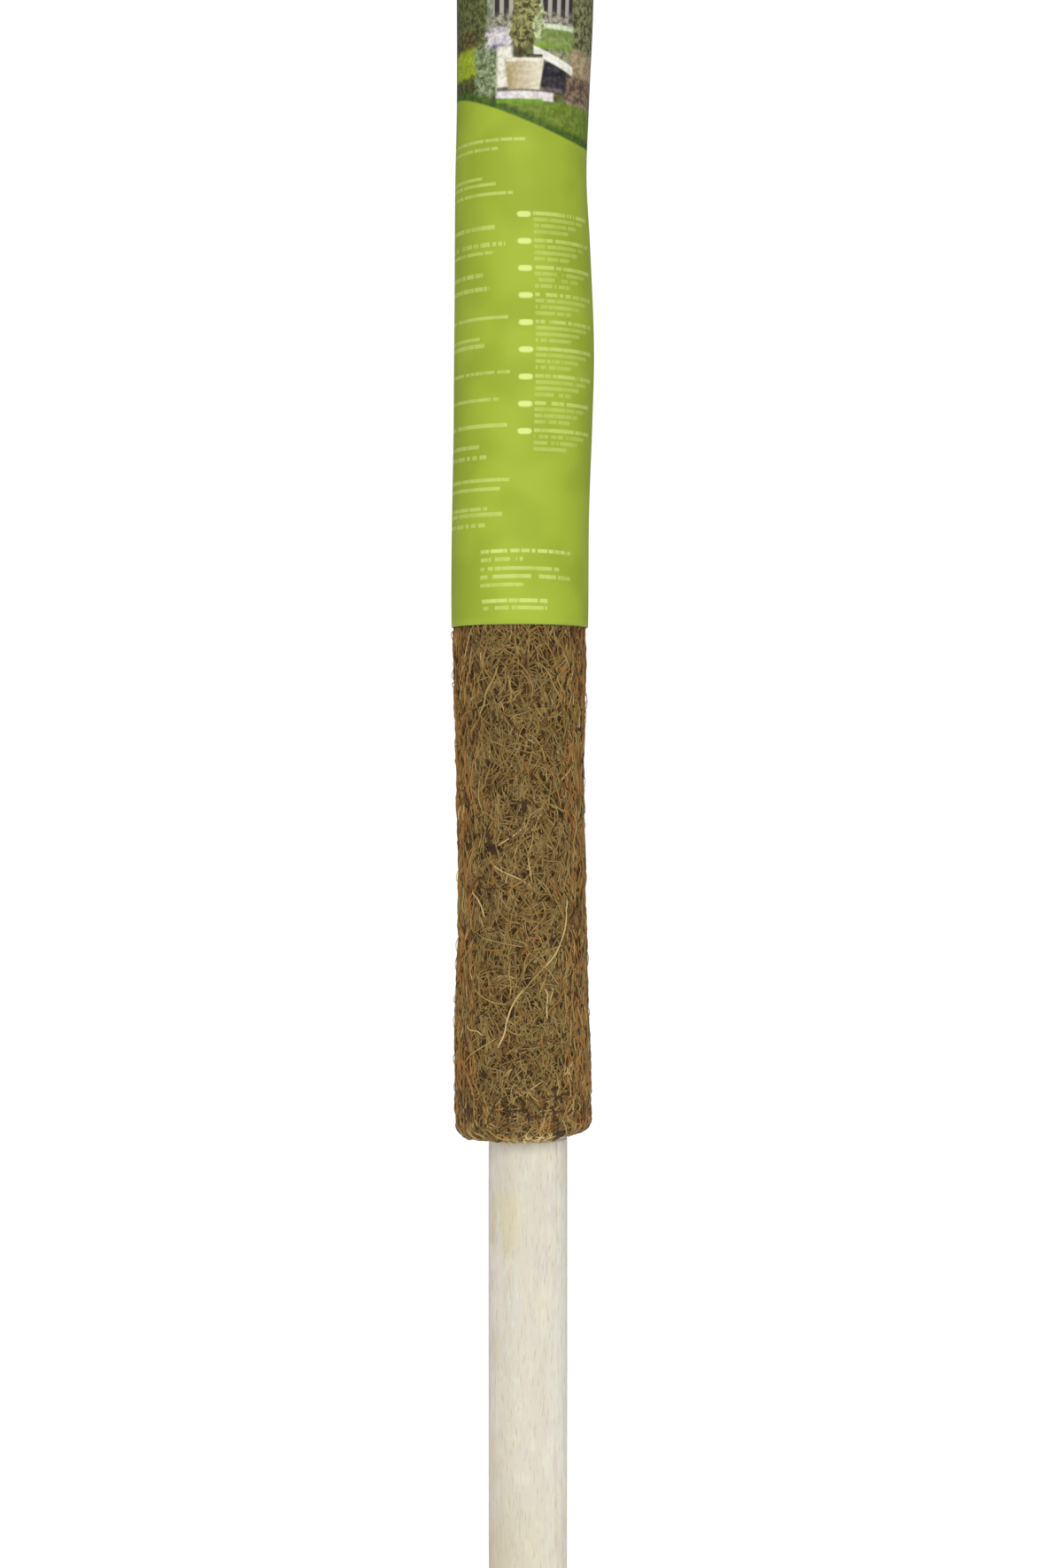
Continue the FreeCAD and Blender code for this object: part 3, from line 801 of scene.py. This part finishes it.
class Print(Graph):
    """The card's printed face. u is the way round from the front, + to the right, and v the height
    above the card's lower edge, both in millimetres."""

    def __init__(self):
        super().__init__("label_print", roughness=0.75, specular=0.4)
        u, v, _ = self.apart(self.node("UVMap", {}, uv_map="print").outputs["UV"])
        self.u, self.v = u * UV_MM, v * UV_MM
        self.flat = self.point(self.u, self.v)
        # leaves and grass have no straight edges
        self.leafy_u = self.u + (self.noise(self.flat, 0.55, 3.0) - 0.5) * 4.0
        self.leafy_v = self.v + (self.noise(self.point(self.v, self.u), 0.6, 3.0) - 0.5) * 4.0
        coarse, fine = self.noise(self.flat, 0.4, 1.5), self.noise(self.flat, 0.95, 1.5)
        self.grain = self.ramp(coarse * 0.5 + fine * 0.5, 0.38, 0.62)
        self.leaves = self.ramp(self.noise(self.flat, 0.7, 3.0, 0.62, 0.4), 0.36, 0.66)

    def point(self, x, y):
        return self.node("CombineXYZ", {"X": x, "Y": y}).outputs[0]

    def above(self, value, edge, soft):
        return self.ramp(value, edge - soft, edge + soft)

    def below(self, value, edge, soft):
        return self.ramp(value, edge - soft, edge + soft, 1.0, 0.0)

    def band(self, value, low, high, soft):
        return self.above(value, low, soft) * self.below(value, high, soft)

    def box(self, left, right, low, high, soft, leafy=False):
        u, v = (self.leafy_u, self.leafy_v) if leafy else (self.u, self.v)
        return self.band(u, left, right, soft) * self.band(v, low, high, soft)

    def blob(self, u, v, wide, high):
        """A leafy oval about a middle, by its two radii."""
        across = (self.leafy_u - u) / wide
        up = (self.leafy_v - v) / high
        return self.ramp(across * across + up * up, 0.8, 1.15, 1.0, 0.0)

    def bars(self, v, rows, number=0):
        """The ink on the bars of rows, broken into words. Each bar is a stretch of a colour ramp over
        v, and the ramp's colour holds the bar's share of ink, and where its two ends are. A ramp
        takes 15 bars. number tells repeats of the same rows apart."""
        total = None
        for start in range(0, len(rows), 15):
            some = sorted(rows[start : start + 15])
            base = some[0][0] - 2 * BAR
            span = some[-1][0] + 2 * BAR - base
            node = self.node("ValToRGB", {"Fac": (v - base) / span})
            node.color_ramp.interpolation = "CONSTANT"
            stops = node.color_ramp.elements
            stops.remove(stops[1])
            stops[0].position, stops[0].color = 0.0, (0, 0, 0, 1)
            for middle, left, right, share in some:
                low, high = ((middle + half - base) / span for half in (-BAR / 2, BAR / 2))
                ends = (end / BAR_SPAN + 0.5 for end in (left, right))
                stops.new(low).color = (share, *ends, 1)
                stops.new(high).color = (0, 0, 0, 1)
            parts = self.node("SeparateColor", {0: node.outputs["Color"]}).outputs
            there, left, right = (Num(self, part) for part in parts)
            row = right * 977 + there * 331 + number
            words = self.noise(self.point(self.u * 0.9, row), 1.0, 1.0)
            strength = self.noise(self.point(self.u * 0.25, row), 1.0, 1.0)
            part = (
                there
                * self.math("GREATER_THAN", self.u, (left - 0.5) * BAR_SPAN)
                * self.math("LESS_THAN", self.u, (right - 0.5) * BAR_SPAN)
                * self.ramp(words, 0.35, 0.42)
                * self.ramp(strength, 0.3, 0.6, 0.7, 1.1)
            )
            total = part if total is None else total + part
        return total

    def shades(self, dark, light, leafy=False):
        return self.mix(self.leaves if leafy else self.grain, srgb(*dark), srgb(*light))

    def layers(self, under, rows):
        """One patch over another, each given by its mask, its two colours, and True if it is leafy."""
        for mask, dark, light, *leafy in rows:
            under = self.mix(mask, under, self.shades(dark, light, *leafy))
        return under


def text_bars(card):
    """The share of ink in the text columns, and of the bright bullets of the list."""
    fall = POINTS_TOP - card.v
    in_list = card.band(fall, 0, POINTS * POINTS_PITCH, 0.01)
    in_point = (0 - fall) % POINTS_PITCH
    number = (fall / POINTS_PITCH).floor() * 9.7
    ink = (
        card.bars(in_point, POINT_BARS, number) * in_list
        + card.bars(card.v, LEFT_BARS)
        + card.bars(card.v + card.u * card.u * FOOT_ARCH, FOOT_BARS)
    )
    across = (card.u - BULLET[0]) / BULLET[2]
    up = (in_point - (POINTS_PITCH - BULLET[1])) / BULLET[3]
    dot = card.ramp(across * across * across * across + up * up, 0.3, 1.5, 1.0, 0.0)
    return ink, dot * in_list


def print_material():
    card = Print()
    ink, bullet = text_bars(card)
    lime = card.mix(card.ramp(card.noise(card.flat, 0.06, 1.0), 0.4, 0.6), LIME, LIME_DEEP)
    lime = card.mix(ink, lime, INK)
    lime = card.mix(bullet * 0.8, lime, srgb(226, 240, 142))
    # the lime field's upper edge, an S curve, which the picture meets; it climbs back behind
    edge = card.ramp(card.u, -27, 21, 134.2, 121.8) + card.ramp(card.u, 26, 54, 0.0, 12.4)
    face = card.mix(card.above(card.v - edge, 0, 0.4), lime, picture(card, edge))
    header = card.mix(card.above(card.v, 191.5, 0.2), srgb(226, 234, 200), LIME)
    heading = card.box(-15, 15, 219, 225.5, 0.2) + card.box(-15, 6, 212, 214.4, 0.2)
    header = card.mix(heading, header, srgb(232, 240, 208))
    face = card.mix(card.above(card.v, 190.5, 0.2), face, header)
    card.bump(card.noise(card.flat, 3.0, 3.0), 0.03, 0.5)
    return card.finish(face)


def backdrop(card):
    """Behind the plant: trees, a fence of pale posts and an open sky."""
    box = card.box
    scene = card.shades((54, 56, 26), (108, 110, 60), leafy=True)
    aside = card.ramp(card.math("ABSOLUTE", card.u - 2), 10, 15)
    treetops = card.streak(card.u, 0.11) * 26 + 166 - (1 - aside) * 60
    posts = card.ramp(card.math("SINE", card.u * (TURN / 2.55) + 4.03), -0.3, 0.6)
    fence = card.mix(posts, srgb(46, 42, 42), srgb(172, 164, 152))
    scene = card.layers(scene, [
        (card.above(card.leafy_v, 170, 1.0), (192, 206, 202), (216, 224, 216)),
        (card.below(card.leafy_v, treetops, 1.0), (54, 58, 26), (114, 120, 66), True),
    ])
    scene = card.mix(box(-9.6, 13.6, 151, 168, 0.7), scene, fence)
    return card.layers(scene, [
        (box(-10.2, -8.4, 149.5, 164, 0.5), (104, 116, 86), (166, 176, 144)),
        (box(-9.8, 14, 148.4, 153.2, 1.6, leafy=True), (88, 86, 64), (176, 172, 156), True),
        (box(14.2, 32, 144, 160, 1.0, leafy=True), (62, 68, 34), (148, 148, 104), True),
        (box(-33, -13.6, 143, 150, 1.2, leafy=True), (56, 52, 24), (116, 106, 54), True),
    ])


def garden(card, scene):
    """Either side of the pot: hedge, wall, shrubs, pale gravel, and a slab that leans on slate."""
    box = card.box
    slope = card.v + card.u * 0.36
    base = card.band(card.u, -7.2, 8.4, 0.5) * card.band(card.v + card.u * 0.06, 131.6, 134.1, 0.4)
    slate = box(4.8, 12.4, 133.8, 141.4, 0.6) * card.below(slope, 143.8, 0.5)
    slab = box(2.5, 14.4, 136.8, 145.6, 0.4) * card.band(slope, 143.8, 146.0, 0.4)
    return card.layers(scene, [
        (box(2.6, 14.4, 144.6, 150.4, 0.6), (108, 130, 62), (142, 158, 92)),
        (box(2.6, 14.4, 144.6, 145.8, 0.5), (106, 142, 30), (132, 162, 56)),
        (box(1.2, 14.2, 149.6, 150.8, 0.4), (190, 204, 164), (224, 232, 204)),
        (box(6, 15, 140, 144.8, 0.8, leafy=True), (98, 104, 68), (160, 164, 124), True),
        (box(13.4, 34, 138.6, 145.4, 0.8), (144, 126, 92), (186, 170, 134)),
        (box(11.8, 34, 131.4, 138.8, 1.0), (86, 68, 54), (144, 122, 100)),
        (box(13, 34, 127.5, 131.8, 1.0, leafy=True), (132, 116, 88), (190, 178, 152), True),
        (box(-25, -13.2, 138.2, 145.6, 0.9), (138, 156, 22), (170, 188, 40)),
        (box(-33, -7.6, 131, 138.6, 1.0, leafy=True), (48, 52, 18), (106, 106, 48), True),
        (box(-14.2, -6.4, 132.4, 146, 1.2, leafy=True), (76, 92, 52), (158, 172, 132), True),
        (box(-10.3, -3.6, 144.9, 149.6, 0.9, leafy=True), (178, 170, 172), (226, 220, 224), True),
        (box(-8.7, -5.2, 144.5, 145.6, 0.5), (88, 80, 112), (128, 120, 146)),
        (box(-7.2, -3.0, 134.2, 145.0, 0.6), (200, 196, 178), (238, 232, 218)),
        (slate, (20, 20, 26), (64, 60, 66)),
        (slab, (214, 214, 196), (246, 244, 234)),
        (base, (202, 194, 190), (234, 228, 226)),
        (box(-7.2, 11, 133.8, 134.8, 0.4), (84, 76, 72), (120, 108, 102)),
    ])


def potted_plant(card, scene):
    box = card.box
    half = card.ramp(card.v, 133.0, 142.4, 4.2, 5.2)  # the pot narrows towards its foot
    away = card.math("ABSOLUTE", card.u - 0.15) - half
    pot = card.below(away, 0, 0.4) * card.band(card.v, 134.2, 142.0, 0.35)
    clay = card.mix(
        card.ramp(card.u, -3.5, 4.5), card.shades((164, 148, 108), (190, 174, 136)),
        card.shades((210, 200, 172), (230, 220, 196)),
    )
    scene = card.mix(pot, scene, clay)
    return card.layers(scene, [
        (box(-4.9, 5.1, 141.2, 142.1, 0.3), (206, 200, 176), (236, 232, 214)),
        (box(0.6, 5.0, 142.3, 143.0, 0.3), (52, 46, 34), (92, 84, 66)),
        (box(-1.7, -0.5, 142.1, 149.4, 0.5), (44, 30, 14), (78, 60, 32)),
        (card.blob(-0.8, 149.6, 3.1, 4.8), (54, 54, 20), (156, 154, 88), True),
        (card.blob(3.6, 152.0, 1.6, 5.4), (120, 132, 84), (206, 214, 162), True),
        (card.blob(0.5, 157.6, 3.5, 7.6), (56, 58, 22), (156, 156, 94), True),
        (card.blob(-0.5, 171.0, 5.5, 9.0), (64, 74, 24), (146, 158, 80), True),
    ])


def picture(card, edge):
    """A garden scene, down to the lawn that meets the lime field."""
    return card.layers(potted_plant(card, garden(card, backdrop(card))), [
        (card.below(card.v, 131.4, 0.5), (94, 116, 30), (122, 142, 52)),
        (card.below(card.v - edge, 2.0, 0.9), (54, 80, 18), (80, 108, 30)),
        (card.box(-7.2, 5.4, 130.9, 131.8, 0.4), (94, 144, 14), (122, 164, 34)),
    ])


# angles on the card, anticlockwise from +X, in degrees: the flap's end, the step down from it, and
# the start of the sheet underneath, one turn on
FLAP_END, STEP_HIGH, STEP_LOW, START = 66, 110, 120, 460
GLUE_FROM, GLUE_TO = 70, 96  # the glue between the flap and the sheet
BUCKLES, DENTS = Lumps(41, 18, 30), Lumps(42, 6, 60)


def card_points(theta, v, inward=0.0):
    """Points on the card's outer face, or this far inside it, at heights above its lower edge."""
    z = LABEL_BOTTOM + v
    climb = np.clip((math.radians(STEP_LOW) - theta) / math.radians(STEP_LOW - STEP_HIGH), 0, 1)
    climb = climb * climb * (3 - 2 * climb) * FLAP_LIFT
    wave = 0.10 * BUCKLES(theta, v) + 0.03 * DENTS(theta, v)
    r = outer_radius(z) + wave + climb - inward
    points = [AXIS_X + sway(z) + r * np.cos(theta), r * np.sin(theta), z]
    return np.stack(points, axis=-1).reshape(-1, 3)


def layer(name, theta, v, depths, materials):
    """A closed sheet that follows the card, between two depths inside the card's outer face."""
    rows, columns = v.shape
    count = rows * columns
    front = grid_quads(rows, columns, closed=False)
    back = front[:, ::-1] + count
    corner = [0, columns - 1, count - 1, count - columns]
    steps = (1, columns, -1, -columns)
    sides = [np.arange(*ends) for ends in zip(corner, [*corner[1:], corner[0]], steps)]
    border = np.concatenate(sides)
    following = np.roll(border, -1)
    edge = np.stack([following, border, border + count, following + count], axis=-1)
    shade = np.repeat([0, 1], [len(front), len(back) + len(edge)])
    points = np.concatenate([card_points(theta, v, depth) for depth in depths])
    return mesh_object(name, points, [front, back, edge], materials, shade)


def sleeve():
    """The card: a flap, a step down onto the mat, and once round to the start under the flap."""
    columns, rows = 220, 130
    heights, angles = np.linspace(0, LABEL_HEIGHT, rows), np.linspace(FLAP_END, START, columns)
    v, theta = np.meshgrid(heights, np.radians(angles), indexing="ij")
    obj = layer("label_card", theta, v, (0, CARD), [print_material(), card_material()])
    # the print's own coordinates, in tenths of a metre: round from the front, and up
    prints = obj.data.uv_layers.new(name="print")
    flat = np.stack([(theta - FRONT - TURN) * PRINT_RADIUS, v], axis=-1).reshape(-1, 2)
    flat = np.concatenate([flat, flat]) / UV_MM
    index = np.zeros(len(obj.data.loops), np.int32)
    obj.data.loops.foreach_get("vertex_index", index)
    prints.data.foreach_set("uv", flat[index].astype(np.float32).ravel())
    return obj


# -------- the glue


BEAD_RADIUS = 0.42  # the seam's bead, whose middle is at the groove's bottom


def glue_material(name, pale, deep, roughness):
    graph = Graph(name, roughness=roughness, specular=0.45)
    runs = graph.noise(graph.place((0.5, 0.5, 0.15)), 1.0, 3.0, 0.55)
    bubbles = graph.ramp(graph.cells(graph.place(), 0.9), 0.1, 0.35)
    graph.bump(runs * 0.7 + bubbles * 0.3, 0.06)
    return graph.finish(graph.mix(graph.ramp(runs, 0.35, 0.65), srgb(*pale), srgb(*deep)))


def glue_strip(material):
    """The film that fills the card's overlap."""
    low, high = (corner[2] - LABEL_BOTTOM for corner in box_mm("label_glue_strip"))
    heights, angles = np.linspace(low, high, 130), np.linspace(GLUE_FROM, GLUE_TO, 16)
    v, theta = np.meshgrid(heights, np.radians(angles), indexing="ij")
    return layer("label_glue", theta, v, (CARD, FLAP_LIFT), [material, material])


def seam_bead(mat, material):
    """The uneven bead of latex at the bottom of the groove down the mat's back."""
    steps, sides = 420, 10
    low, high = (corner[2] for corner in box_mm("seam_glue_line"))
    place = mat.place_of(np.linspace(low, high, steps))
    theta = SEAM + mat.seam_shift(place)
    line, normal = mat.at(theta, place, np.zeros(steps))
    uneven = 0.25 * mat.middle(theta, place) + 0.2 * mat.fine(theta, place)
    thick = BEAD_RADIUS * np.clip(1 + 1.6 * uneven, 0.35, 1.7)
    one = np.zeros((1, steps - 1), int)
    return tubes("seam_latex", line[None], thick[None], [material], one, normal[None], sides)


def glue(mat):
    """The glue that shows is modelled; the films between the stake and the mat are out of sight."""
    latex = glue_material("dried_latex", (196, 170, 122), (160, 128, 80), 0.38)
    clear = glue_material("label_glue", (222, 216, 196), (200, 192, 166), 0.25)
    films = frame["nodes"]["stake_glue_lines"].data
    films.materials.clear()
    films.materials.append(latex)
    for piece, node, body, slot in (
        (seam_bead(mat, latex), "seam_glue_line", "pole", "latex"),
        (glue_strip(clear), "label_glue_strip", "label", "label_glue"),
    ):
        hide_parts(node)
        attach(piece, body)


# -------- studio


FLOOR, FLOOR_GLOW = 0.7, 0.82  # its radius in metres: it lights the stake, and the label less
SIDE_LIGHT = (0.05, 0.46)  # strength of the surroundings at the sides, and in front and behind
SEEN_WHITE = 1.05  # their strength to the camera


def area_light(name, place, aim, size, watts):
    light = bpy.data.lights.new(name, "AREA")
    light.shape, light.size, light.size_y = "RECTANGLE", *size
    light.energy = watts
    obj = new_object(name, light)
    obj.location = place
    obj.rotation_euler = (Vector(aim) - Vector(place)).to_track_quat("-Z", "Y").to_euler()
    obj.visible_camera = False


def floor():
    """A pale round floor just under the foot, which glows a little."""
    corners = 64
    around = np.arange(corners) / corners * TURN
    ring = np.stack([np.cos(around), np.sin(around), 0 * around], axis=-1) * FLOOR / MM
    graph = Graph("studio_floor", roughness=0.9, specular=0.1)
    graph.put(graph.shader.inputs["Emission Color"], (1, 1, 1, 1))
    graph.put(graph.shader.inputs["Emission Strength"], FLOOR_GLOW)
    obj = mesh_object("floor", ring, [np.arange(corners)[None]], [graph.finish((0.5, 0.5, 0.5, 1))])
    obj.location.z = -0.5 * MM


def world():
    """White to the camera. As a light it is bright in front and behind, and dim at the two sides."""
    made = bpy.data.worlds.new("studio")
    made.use_nodes = True
    nodes = Nodes(made.node_tree)
    _, depth, _ = nodes.apart(nodes.node("TexCoord", {}).outputs["Generated"])
    ends = {"To Min": SIDE_LIGHT[0], "To Max": SIDE_LIGHT[1]}
    light = nodes.node("MapRange", {"Value": nodes.math("ABSOLUTE", depth), **ends})
    seen = nodes.node("LightPath", {}).outputs["Is Camera Ray"]
    mix = nodes.node("Mix", {"Factor": seen, "A": light.outputs["Result"], "B": SEEN_WHITE})
    back = made.node_tree.nodes["Background"]
    nodes.put(back.inputs["Color"], (1, 1, 1, 1))
    nodes.put(back.inputs["Strength"], mix.outputs["Result"])
    bpy.context.scene.world = made


def camera():
    """Level, at the front, with the sleeve's lower half, the bare mat and the stake in view."""
    distance, height_seen, centre = 0.75, 0.4023, 0.2205
    data = bpy.data.cameras.new("camera")
    data.sensor_width = 36
    data.lens = data.sensor_width * distance / height_seen
    obj = new_object("camera", data)
    obj.location = ((AXIS_X + 0.1) * MM, -distance, centre)
    obj.rotation_euler = (math.pi / 2, 0, 0)
    bpy.context.scene.camera = obj


def main():
    camera()
    world()
    floor()
    area_light("key", (0.0, -1.7, 0.8), (0, 0, 0.3), (1.0, 1.0), 19.5)
    area_light("top", (0, 0.3, 2.4), (0, 0, 0), (3, 3), 25)
    bpy.context.scene.view_settings.view_transform = "Standard"

    mat = Mat()
    materials = fibre_materials()
    felt = felt_body(mat)
    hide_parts("coir_mat")
    for piece in [felt, *coir(mat, materials)]:
        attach(piece, "pole")
    wood = stake()
    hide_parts("wooden_stake")
    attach(wood, "pole")
    card = sleeve()
    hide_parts("label_sleeve")
    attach(card, "label")
    glue(mat)


main()
